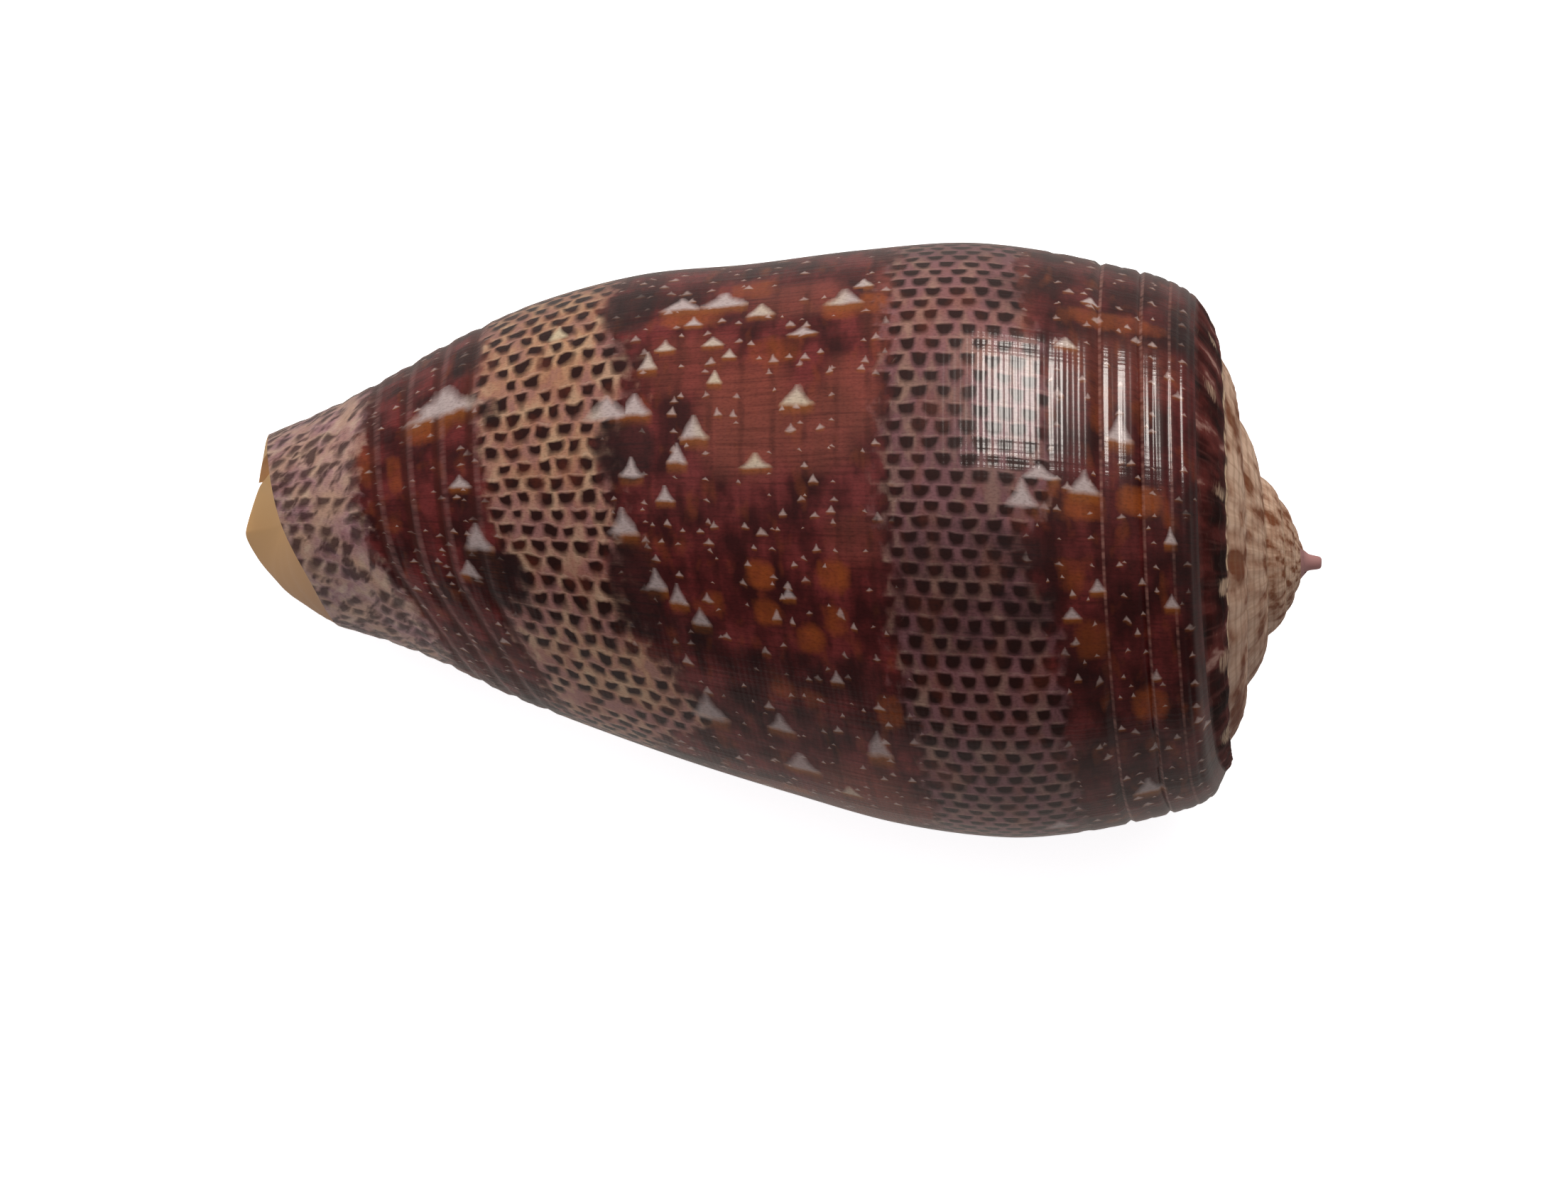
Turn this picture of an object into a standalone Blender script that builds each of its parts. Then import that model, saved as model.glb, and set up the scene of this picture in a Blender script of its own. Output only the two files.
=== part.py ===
"""Cone shell: one closed body, coiled outer wall with an open slit aperture.

Millimetres in the dimensions, metres in the mesh. The shell is worked out about
its coiling axis first (distance from the apex, radius, angle), then laid down
aperture first on z = 0 with the apex toward +X and the outer lip toward +Y.
"""
import math

import bmesh
import bpy
import numpy as np

MM = 0.001

# Growth angle in degrees: 0 is the outer lip, a turn of coil is 360.
COLUMNS_PER_TURN = 48
FIRST_ANGLE = -2400.0
LIP_AROUND = 150.0

# Suture: growth angle, radius, distance from the apex.
SUTURE_ANGLE = [-2400, -2040, -1680, -1320, -1140, -960, -780, -600, -420, -240, -150, -60, 0]
SUTURE_RADIUS = [0.44, 0.75, 1.38, 2.22, 2.80, 3.30, 3.80, 5.55, 6.50, 8.20, 8.60, 8.95, 9.15]
SUTURE_DEPTH = [0.84, 1.00, 1.25, 1.62, 2.03, 2.42, 2.93, 3.36, 3.98, 4.20, 4.56, 4.67, 4.92]
SPIRE_LEAN = 0.035
WHORL_BULGE = 0.27
RAMP_STEPS = 4

# Keel at the inner edge of the rounded shoulder on the last whorl.
KEEL_ANGLE = [-360, -300, -240, -207, -180, -150, -105, -60, 0]
KEEL_RADIUS = [9.10, 9.10, 9.33, 9.90, 10.50, 11.00, 11.40, 11.53, 11.70]
KEEL_DEPTH = [4.95, 4.40, 4.22, 4.90, 5.42, 5.85, 6.00, 5.72, 5.95]

# Body outline at the columella side and at the lip side, as radius along the
# share of the way from the keel to the anterior margin.
OUTLINE_SHARE = [0, 0.009, 0.024, 0.05, 0.08, 0.16, 0.24, 0.36, 0.48, 0.60, 0.72, 0.80, 0.88, 0.94, 1]
COLUMELLA_SIDE = [9.3, 10.2, 10.75, 11.2, 11.58, 12.35, 12.7, 12.3, 11.2, 9.95, 8.5, 7.45, 6.1, 5.28, 4.65]
LIP_SIDE = [11.53, 11.8, 12.1, 12.45, 12.68, 13.25, 13.5, 13.0, 12.2, 11.53, 9.98, 8.35, 6.37, 5.0, 3.82]
BODY_SHARES = [0, 0.008, 0.022, 0.045, 0.08, 0.12, 0.17, 0.22, 0.28, 0.34, 0.4, 0.46, 0.52, 0.58]
BODY_SHARES += [0.64, 0.7, 0.76, 0.82, 0.88, 0.94, 1.0]
BODY_ROWS = len(BODY_SHARES) - 1

# Anterior margin, distance from the apex round the shell.
MARGIN_ANGLE = [-490, -430, -360, -330, -315, -300, -285, -270, -240, -195, -150, -105, -60, -30, 0]
MARGIN_DEPTH = [45.8, 46.6, 47.9, 48.3, 48.4, 47.9, 46.5, 45.1, 43.5, 44.1, 45.7, 46.6, 47.1, 47.6, 48.0]
# Slanted hollow inside that margin: distance from the apex on its axis, slant, sag.
END_DEPTH = 46.6
END_SLANT = 0.50
END_SAG = 0.45
END_RINGS = [0.80, 0.52, 0.24]
END_STAGGER = 6.0

# Outer wall and the slit behind it.
LIP_EDGE = 0.50
WALL = 0.95
SLIT_COLUMNS = 17
SLIT_SHARE = [0, 0.10, 0.40, 0.75, 1.0]
SLIT_GAP = [1.45, 1.50, 1.85, 2.00, 0.85]
LIP_FLARE = 0.30
VENTRAL_START = 42.0
VENTRAL_RUN = 36.0
SLIT_INNER_SHARE = 0.45

# Smooth nub at the apex.
NUB_DEPTH = [0.66, 0.45, 0.20, 0.06]
NUB_RADIUS = [0.37, 0.35, 0.31, 0.19]

# Resting pose.
PITCH = 8.4
ROLL = -9.6

MATERIAL_COLOR = (0.16, 0.045, 0.035, 1.0)


def curve(x, xs, ys):
    """Smooth curve through the given stations, flat outside them."""
    xs = np.asarray(xs, dtype=float)
    ys = np.asarray(ys, dtype=float)
    x = min(max(float(x), xs[0]), xs[-1])
    i = int(min(max(np.searchsorted(xs, x, side="right") - 1, 0), len(xs) - 2))
    slopes = np.diff(ys) / np.diff(xs)
    tangents = np.concatenate(([slopes[0]], (slopes[:-1] + slopes[1:]) / 2, [slopes[-1]]))
    flat = np.concatenate(([False], slopes[:-1] * slopes[1:] <= 0, [False]))
    tangents[flat] = 0.0
    h = xs[i + 1] - xs[i]
    t = (x - xs[i]) / h
    value = (2 * t**3 - 3 * t**2 + 1) * ys[i] + (t**3 - 2 * t**2 + t) * h * tangents[i]
    return value + (3 * t**2 - 2 * t**3) * ys[i + 1] + (t**3 - t**2) * h * tangents[i + 1]


def around(theta):
    return math.radians(LIP_AROUND + theta)


def lean(theta, radius):
    return SPIRE_LEAN * radius * math.sin(around(theta))


def suture(theta):
    radius = curve(theta, SUTURE_ANGLE, SUTURE_RADIUS)
    return curve(theta, SUTURE_ANGLE, SUTURE_DEPTH) + lean(theta, radius), radius


def keel(theta):
    radius = curve(theta, KEEL_ANGLE, KEEL_RADIUS)
    return curve(theta, KEEL_ANGLE, KEEL_DEPTH) + lean(theta, radius), radius


def ramp(theta, step):
    """A point between the suture and the outer edge of the whorl's visible part."""
    inner = suture(theta)
    outer = keel(theta) if theta > -360 else suture(theta + 360)
    t = step / RAMP_STEPS
    bulge = WHORL_BULGE * min(1.0, inner[1] / 4) * math.sin(math.pi * t) ** 0.8
    depth = inner[0] + (outer[0] - inner[0]) * t - bulge
    return depth, inner[1] + (outer[1] - inner[1]) * t


def slit_gap(theta, share):
    """Clear gap between the inner face of the wall and the whorl inside it."""
    at_lip = curve(share, SLIT_SHARE, SLIT_GAP)
    back = -theta / (SLIT_COLUMNS * 360 / COLUMNS_PER_TURN)
    return at_lip * (1 - (1 - SLIT_INNER_SHARE) * back**2)


def wall(theta):
    back = min(1.0, -theta / 25)
    return LIP_EDGE + (WALL - LIP_EDGE) * back


def outline(theta, share):
    """Outer face of the last whorl in the plane of the axis."""
    if theta >= -60:
        lip_weight = 1.0
    elif theta >= -240:
        lip_weight = 0.5 + 0.5 * math.cos(math.radians(-60 - theta))
    else:
        lip_weight = 0.0
    base = curve(share, OUTLINE_SHARE, COLUMELLA_SIDE) * (1 - lip_weight)
    base += curve(share, OUTLINE_SHARE, LIP_SIDE) * lip_weight
    edge_depth, edge_radius = keel(theta)
    start = COLUMELLA_SIDE[0] * (1 - lip_weight) + LIP_SIDE[0] * lip_weight
    radius = base + (edge_radius - start) * max(0.0, 1 - share / 0.06)
    if theta < -240:
        t = min(1.0, max(0.0, (-240 - theta - VENTRAL_START) / VENTRAL_RUN))
        inside = curve(share, OUTLINE_SHARE, LIP_SIDE) - LIP_EDGE - slit_gap(0.0, share)
        inside += (edge_radius - inside) * max(0.0, 1 - share / 0.05) ** 2
        radius += (inside - radius) * t * t * (3 - 2 * t)
    radius += LIP_FLARE * max(0.0, 1 + theta / 45) ** 2 * math.sin(math.pi * min(1.0, share / 0.9)) ** 0.5
    margin = curve(theta, MARGIN_ANGLE, MARGIN_DEPTH)
    return edge_depth + (margin - edge_depth) * share, radius


def inner_face(theta, share):
    """Outline moved inward by the wall thickness."""
    step = 0.01
    low = outline(theta, max(0.0, share - step))
    high = outline(theta, min(1.0, share + step))
    run = math.hypot(high[0] - low[0], high[1] - low[1])
    toward_apex = -(high[1] - low[1]) / run * -1.0
    outward = (high[0] - low[0]) / run
    depth, radius = outline(theta, share)
    keep = 1 - share
    return depth + wall(theta) * toward_apex * keep, radius - wall(theta) * max(outward, 0.6)


def place(depth, radius, theta):
    """From axis coordinates to the resting pose, still off the table."""
    phi = around(theta) + math.radians(ROLL)
    x, y, z = -depth, radius * math.sin(phi), radius * math.cos(phi)
    c, s = math.cos(math.radians(PITCH)), math.sin(math.radians(PITCH))
    return (x * c - z * s, y, x * s + z * c)


def shell_mesh():
    points = []
    faces = []

    def add(depth, radius, theta):
        points.append(place(depth, radius, theta))
        return len(points) - 1

    step = 360 / COLUMNS_PER_TURN
    last = int(round(-FIRST_ANGLE / step))
    turn = last - COLUMNS_PER_TURN

    def angle(q):
        return FIRST_ANGLE + q * step

    # Spire and ramp, shared rows between neighbouring whorls.
    ramp_rows = [[add(*ramp(angle(q), j), angle(q)) for j in range(RAMP_STEPS)] for q in range(last + 1)]
    body = {}
    for q in range(turn, last + 1):
        theta = angle(q)
        column = [add(*outline(theta, BODY_SHARES[i]), theta) for i in range(1, BODY_ROWS + 1)]
        top = ramp_rows[last][0] if q == turn else add(*keel(theta), theta)
        body[q] = [top] + column
    for q in range(last + 1):
        ramp_rows[q].append(ramp_rows[q + COLUMNS_PER_TURN][0] if q <= turn else body[q][0])
    for q in range(last):
        for j in range(RAMP_STEPS):
            a, b = ramp_rows[q], ramp_rows[q + 1]
            faces.append((a[j], a[j + 1], b[j + 1], b[j]))
    for q in range(turn, last):
        for i in range(BODY_ROWS):
            a, b = body[q], body[q + 1]
            faces.append((a[i], a[i + 1], b[i + 1], b[i]))

    # Slit: inner face of the wall and the older whorl that faces it.
    inner = []
    core = []
    for m in range(SLIT_COLUMNS + 1):
        theta = -m * step
        inner_column = []
        core_column = []
        for i in range(BODY_ROWS + 1):
            share = BODY_SHARES[i]
            depth, radius = inner_face(theta, share)
            inner_column.append(add(depth, radius, theta))
            if m == 0:
                continue
            gap = slit_gap(theta, share)
            if i == 0:
                gap = radius - suture(theta)[1] - 0.25
            margin = curve(theta - 360, MARGIN_ANGLE, MARGIN_DEPTH)
            own = outline(theta, 1.0)[0]
            drawn = depth + (margin - own) * share**6
            if i < 3:
                drawn -= (1 - min(1.0, m / 4)) * (1 - i / 3) * 0.8
            core_column.append(add(drawn, radius - gap, theta))
        inner.append(inner_column)
        core.append(body[turn] if m == 0 else core_column)
    for m in range(SLIT_COLUMNS):
        for i in range(BODY_ROWS):
            faces.append((inner[m][i], inner[m][i + 1], inner[m + 1][i + 1], inner[m + 1][i]))
            faces.append((core[m + 1][i], core[m + 1][i + 1], core[m][i + 1], core[m][i]))
        faces.append((inner[m][0], inner[m + 1][0], core[m + 1][0], core[m][0]))
        outer, neighbour = body[last - m], body[last - m - 1]
        faces.append((outer[-1], inner[m][-1], inner[m + 1][-1], neighbour[-1]))
    for i in range(BODY_ROWS):
        faces.append((inner[0][i + 1], inner[0][i], body[last][i], body[last][i + 1]))
        end_inner, end_core = inner[SLIT_COLUMNS], core[SLIT_COLUMNS]
        faces.append((end_inner[i], end_inner[i + 1], end_core[i + 1], end_core[i]))

    # End of the ramp at the lip.
    faces.append(tuple(ramp_rows[last]) + (inner[0][0],))

    # Anterior end: a hollow slanting from the near margin to the tip.
    closing = last - SLIT_COLUMNS
    loop = [(body[q][-1], angle(q), outline(angle(q), 1.0)) for q in range(turn, closing)]
    for m in range(SLIT_COLUMNS, 0, -1):
        theta = -m * step
        depth = curve(theta - 360, MARGIN_ANGLE, MARGIN_DEPTH)
        radius = inner_face(theta, 1.0)[1] - slit_gap(theta, 1.0)
        loop.append((core[m][-1], theta, (depth, radius)))
    rings = [[item[0] for item in loop]]
    split = closing - turn
    for scale in END_RINGS:
        ring = []
        for n, (_, theta, (depth, radius)) in enumerate(loop):
            if n in (split - 1, split):
                theta -= END_STAGGER * (n - split + 2) / 2
            slanted = END_DEPTH - END_SLANT * radius * scale * math.cos(around(theta))
            kept = scale**3
            ring.append(add(slanted * (1 - kept) + depth * kept - END_SAG * (1 - kept), radius * scale, theta))
        rings.append(ring)
    count = len(loop)
    middle = add(END_DEPTH - END_SAG, 0.0, 0.0)
    for outer, ring in zip(rings[:-1], rings[1:]):
        for n in range(count):
            after = (n + 1) % count
            if outer is rings[0] and n == split - 1:
                faces.append((outer[n], ring[n], ring[after], body[closing][-1]))
                faces.append((body[closing][-1], ring[after], inner[SLIT_COLUMNS][-1]))
                faces.append((inner[SLIT_COLUMNS][-1], ring[after], outer[after]))
            else:
                faces.append((outer[n], ring[n], ring[after], outer[after]))
    for n in range(count):
        faces.append((rings[-1][n], middle, rings[-1][(n + 1) % count]))

    # Apex nub.
    nub = []
    for depth, radius in zip(NUB_DEPTH, NUB_RADIUS):
        nub.append([add(depth, radius, angle(q)) for q in range(COLUMNS_PER_TURN)])
    first = [ramp_rows[q][0] for q in range(COLUMNS_PER_TURN + 1)]
    for q in range(COLUMNS_PER_TURN):
        after = (q + 1) % COLUMNS_PER_TURN
        faces.append((first[q], first[q + 1], nub[0][after], nub[0][q]))
        for low, high in zip(nub[:-1], nub[1:]):
            faces.append((low[q], low[after], high[after], high[q]))
    faces.append(tuple(nub[-1]))
    faces.append((nub[0][0],) + tuple(ramp_rows[0][j] for j in range(RAMP_STEPS, -1, -1)))
    return points, faces


def build():
    for old in list(bpy.data.objects):
        bpy.data.objects.remove(old)
    points, faces = shell_mesh()
    points = np.array(points)
    low, high = points.min(axis=0), points.max(axis=0)
    points -= [(low[0] + high[0]) / 2, (low[1] + high[1]) / 2, low[2]]
    mesh = bpy.data.meshes.new("shell")
    mesh.from_pydata([tuple(p * MM) for p in points], [], faces)
    grid = bmesh.new()
    grid.from_mesh(mesh)
    bmesh.ops.triangulate(grid, faces=grid.faces[:])
    bmesh.ops.recalc_face_normals(grid, faces=grid.faces[:])
    grid.to_mesh(mesh)
    grid.free()
    for polygon in mesh.polygons:
        polygon.use_smooth = True
    shell = bpy.data.objects.new("shell", mesh)
    bpy.context.scene.collection.objects.link(shell)
    material = bpy.data.materials.new("shell")
    material.use_nodes = True
    material.node_tree.nodes["Principled BSDF"].inputs["Base Color"].default_value = MATERIAL_COLOR
    material.node_tree.nodes["Principled BSDF"].inputs["Roughness"].default_value = 0.3
    mesh.materials.append(material)


build()
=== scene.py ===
"""Cone shell, as it looks: the coiled shell in finer relief, with its colour pattern."""
import math

import bmesh
import bpy
import numpy as np
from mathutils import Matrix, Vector


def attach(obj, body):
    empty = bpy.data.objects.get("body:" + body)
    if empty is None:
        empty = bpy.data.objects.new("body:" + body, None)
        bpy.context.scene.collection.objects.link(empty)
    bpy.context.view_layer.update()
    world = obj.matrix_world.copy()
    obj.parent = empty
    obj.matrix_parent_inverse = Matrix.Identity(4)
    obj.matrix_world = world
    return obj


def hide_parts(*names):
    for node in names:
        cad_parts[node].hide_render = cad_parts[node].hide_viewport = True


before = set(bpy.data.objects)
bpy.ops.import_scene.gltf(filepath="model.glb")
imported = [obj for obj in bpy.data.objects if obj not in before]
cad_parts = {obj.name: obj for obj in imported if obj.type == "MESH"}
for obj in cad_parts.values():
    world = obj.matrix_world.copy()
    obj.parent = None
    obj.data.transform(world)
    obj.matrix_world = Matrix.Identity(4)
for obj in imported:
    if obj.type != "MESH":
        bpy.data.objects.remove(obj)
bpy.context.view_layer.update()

# The shell
# One natural cone shell of hard, chalky shell, grown in a coil round a straight axis. Its colours
# are grown in, and its last whorl is smooth and glossy. Nothing is fixed to it.
# Sizes are in millimetres, and angles are degrees of growth back from the outer lip at 0.

# Mesh: degrees between columns, the first growth, the rows of a ramp and of the last whorl, and
# how many columns and rows one face of the aperture's inner walls spans.
COLUMN = 1.25
FIRST = -2400.0
RAMP_ROWS = 10
BODY_ROWS = 200
INNER_EVERY = 3
INNER_ROWS_EVERY = 5

# How far the slit runs in behind the lip, the lip's wall and how much it thickens behind it.
SLIT_ANGLE = 127.5
LIP_WALL = 0.5
WALL_GAIN = 0.45

# How the shell lies: the lip's place round the axis, the axis's tilt and roll, and the shift from
# the apex. The fine mesh is drawn in about its middle, to stay within the plain solid.
LIP_AROUND = 150.0
PITCH = 8.4
ROLL = -9.6
SHIFT = (23.7735, -0.4023, 13.5729)
FIT = 0.997
FIT_MIDDLE = (0.0, 0.0, 12.24)

# Sutures, as radius and as distance from the apex, and how far they lean for their radius.
SUTURE = [-2400, -2040, -1680, -1320, -1140, -960, -780, -600, -420, -240, -150, -60, 0]
SUTURE_RADIUS = [0.44, 0.75, 1.38, 2.22, 2.80, 3.30, 3.80, 5.55, 6.50, 8.20, 8.60, 8.95, 9.15]
SUTURE_DEPTH = [0.84, 1.00, 1.25, 1.62, 2.03, 2.42, 2.93, 3.36, 3.98, 4.20, 4.56, 4.67, 4.92]
LEAN = 0.035

# Shoulder edge of the last whorl, as radius and as distance from the apex.
KEEL = [-360, -300, -240, -207, -180, -150, -105, -60, 0]
KEEL_RADIUS = [9.10, 9.10, 9.33, 9.90, 10.50, 11.00, 11.40, 11.53, 11.70]
KEEL_DEPTH = [4.95, 4.40, 4.22, 4.90, 5.42, 5.85, 6.00, 5.72, 5.95]

# Side of the last whorl, as radius at these shares of its length, at two places in its growth.
SHARE = [0, 0.009, 0.024, 0.05, 0.08, 0.16, 0.24, 0.36, 0.48, 0.60, 0.72, 0.80, 0.88, 0.94, 1]
COLUMELLA_SIDE = [9.3, 10.2, 10.75, 11.2, 11.58, 12.35, 12.7, 12.3, 11.2, 9.95, 8.5, 7.45, 6.1, 5.28, 4.65]
LIP_SIDE = [11.53, 11.8, 12.1, 12.45, 12.68, 13.25, 13.5, 13.0, 12.2, 11.53, 9.98, 8.35, 6.37, 5.0, 3.82]

# Anterior margin of the last whorl, and how far the hollow behind it slants and sinks.
MARGIN = [-490, -430, -360, -330, -315, -300, -285, -270, -240, -195, -150, -105, -60, -30, 0]
MARGIN_DEPTH = [45.8, 46.6, 47.9, 48.3, 48.4, 47.9, 46.5, 45.1, 43.5, 44.1, 45.7, 46.6, 47.1, 47.6, 48.0]
END_DEPTH = 46.6
END_SLANT = 0.5
END_HOLLOW = 0.45

# Width of the slit at shares of the whorl's length.
SLIT_SHARE = [0, 0.10, 0.40, 0.75, 1.0]
SLIT_GAP = [1.45, 1.50, 1.85, 2.00, 0.85]

# Cords toward the anterior end: the share at one groove, and from one groove to the next.
CORD_START = 0.882
CORD_SPACING = 0.0375


def smooth(x, stations, values):
    """Smooth curve through the stations, flat outside them, for arrays."""
    xs = np.asarray(stations, dtype=float)
    ys = np.asarray(values, dtype=float)
    x = np.clip(np.asarray(x, dtype=float), xs[0], xs[-1])
    i = np.clip(np.searchsorted(xs, x, side="right") - 1, 0, len(xs) - 2)
    slopes = np.diff(ys) / np.diff(xs)
    tangents = np.concatenate(([slopes[0]], (slopes[:-1] + slopes[1:]) / 2, [slopes[-1]]))
    turning = np.concatenate(([False], slopes[:-1] * slopes[1:] <= 0, [False]))
    tangents[turning] = 0.0
    h = xs[i + 1] - xs[i]
    t = (x - xs[i]) / h
    start = (2 * t**3 - 3 * t**2 + 1) * ys[i] + (t**3 - 2 * t**2 + t) * h * tangents[i]
    return start + (3 * t**2 - 2 * t**3) * ys[i + 1] + (t**3 - t**2) * h * tangents[i + 1]


def around(theta):
    """Angle round the axis, in radians."""
    return np.radians(LIP_AROUND + theta)


def lean(theta, radius):
    """How far the ramp at this radius leans along the axis."""
    return LEAN * radius * np.sin(around(theta))


def suture(theta):
    """Line where a whorl meets the one before: distance from the apex and radius."""
    radius = smooth(theta, SUTURE, SUTURE_RADIUS)
    return smooth(theta, SUTURE, SUTURE_DEPTH) + lean(theta, radius), radius


def keel(theta):
    """Shoulder edge of the last whorl: distance from the apex and radius."""
    radius = smooth(theta, KEEL, KEEL_RADIUS)
    return smooth(theta, KEEL, KEEL_DEPTH) + lean(theta, radius), radius


def slit_gap(theta, share):
    """Width of the slit, which closes toward its inner end."""
    return smooth(share, SLIT_SHARE, SLIT_GAP) * (1 - 0.55 * (-theta / SLIT_ANGLE) ** 2)


def outline(theta, share):
    """Outer face of the last whorl: distance from the apex and radius."""
    theta, share = np.broadcast_arrays(np.asarray(theta, float), np.asarray(share, float))
    weight = 0.5 + 0.5 * np.cos(np.radians(np.clip(-60 - theta, 0, 180)))
    base = smooth(share, SHARE, COLUMELLA_SIDE) * (1 - weight) + smooth(share, SHARE, LIP_SIDE) * weight
    edge_depth, edge_radius = keel(theta)
    start = COLUMELLA_SIDE[0] * (1 - weight) + LIP_SIDE[0] * weight
    radius = base + (edge_radius - start) * np.clip(1 - share / 0.06, 0, 1)
    t = np.clip((-282 - theta) / 36, 0, 1)
    inside = smooth(share, SHARE, LIP_SIDE) - LIP_WALL - slit_gap(0.0, share)
    inside = inside + (edge_radius - inside) * np.clip(1 - share / 0.05, 0, 1) ** 2
    radius = radius + (inside - radius) * t * t * (3 - 2 * t)
    flare = np.clip(1 + theta / 45, 0, 1) ** 2
    radius = radius + 0.3 * flare * np.sin(math.pi * np.clip(share / 0.9, 0, 1)) ** 0.5
    return edge_depth + (smooth(theta, MARGIN, MARGIN_DEPTH) - edge_depth) * share, radius


def inner_face(theta, share):
    """Inner face of the outer wall, a wall thickness in from the outline."""
    theta, share = np.broadcast_arrays(np.asarray(theta, float), np.asarray(share, float))
    low = outline(theta, np.clip(share - 0.01, 0, 1))
    high = outline(theta, np.clip(share + 0.01, 0, 1))
    run = np.hypot(high[0] - low[0], high[1] - low[1])
    wall = LIP_WALL + WALL_GAIN * np.clip(-theta / 25, 0, 1)
    depth, radius = outline(theta, share)
    depth = depth + wall * (high[1] - low[1]) / run * (1 - share)
    return depth, radius - wall * np.maximum((high[0] - low[0]) / run, 0.6)


def cord_line(theta, share):
    """Share that follows the anterior cords, which sink toward the shoulder behind the lip."""
    sunk = smooth(theta, [-360, -300, -240, -200, -180, -165, 0], [0, 0.05, 0.05, 0.03, 0.011, 0, 0])
    return share + sunk


def relief(theta, share):
    """How far the outer face lies below the smooth outline, never above it."""
    low = np.zeros(np.broadcast(theta, share).shape)
    wander = 0.0016 * np.sin(np.radians(theta) * 3.1) + 0.0008 * np.sin(np.radians(theta) * 7.3 + 1)
    # Spiral grooves at the shoulder: place, half width and depth.
    for place, width, deep in ((0.006, 0.0016, 0.06), (0.017, 0.0022, 0.07), (0.030, 0.0020, 0.05),
                               (0.045, 0.0018, 0.03), (0.060, 0.0026, 0.14), (0.080, 0.0018, 0.03),
                               (0.1035, 0.0026, 0.14), (0.128, 0.0018, 0.03), (0.152, 0.0024, 0.16)):
        low += deep * np.exp(-((share + wander * 0.5 - place) / width) ** 2)
    # Cords toward the anterior end, every second groove faint.
    cords = smooth(share, [0.72, 0.77, 0.93, 0.99], [0, 1, 0.8, 0.1])
    turns = 2 * math.pi * (cord_line(theta, share) + wander - CORD_START) / CORD_SPACING
    low += 0.11 * cords * (0.5 + 0.5 * np.cos(turns)) ** 3
    low += 0.04 * cords * (0.5 - 0.5 * np.cos(turns)) ** 4
    # Growth lines.
    turn = np.radians(theta + 4 * share)
    lines = np.sin(turn * 41 + 2 * np.sin(turn * 7)) * 0.5
    lines = lines + np.sin(turn * 97 + 3 * np.sin(turn * 11 + 2)) * 0.3
    low += 0.012 * (1 + lines)
    return low


def pose(depth, radius, theta):
    """From distance along the axis, radius and growth angle to the lying shell, in metres."""
    depth, radius, theta = np.broadcast_arrays(depth, radius, theta)
    phi = around(theta) + math.radians(ROLL)
    x, y, z = -depth, radius * np.sin(phi), radius * np.cos(phi)
    c, s = math.cos(math.radians(PITCH)), math.sin(math.radians(PITCH))
    points = np.stack([x * c - z * s, y, x * s + z * c], axis=-1) + SHIFT
    middle = np.array(FIT_MIDDLE)
    return ((points - middle) * FIT + middle) * 0.001


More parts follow.
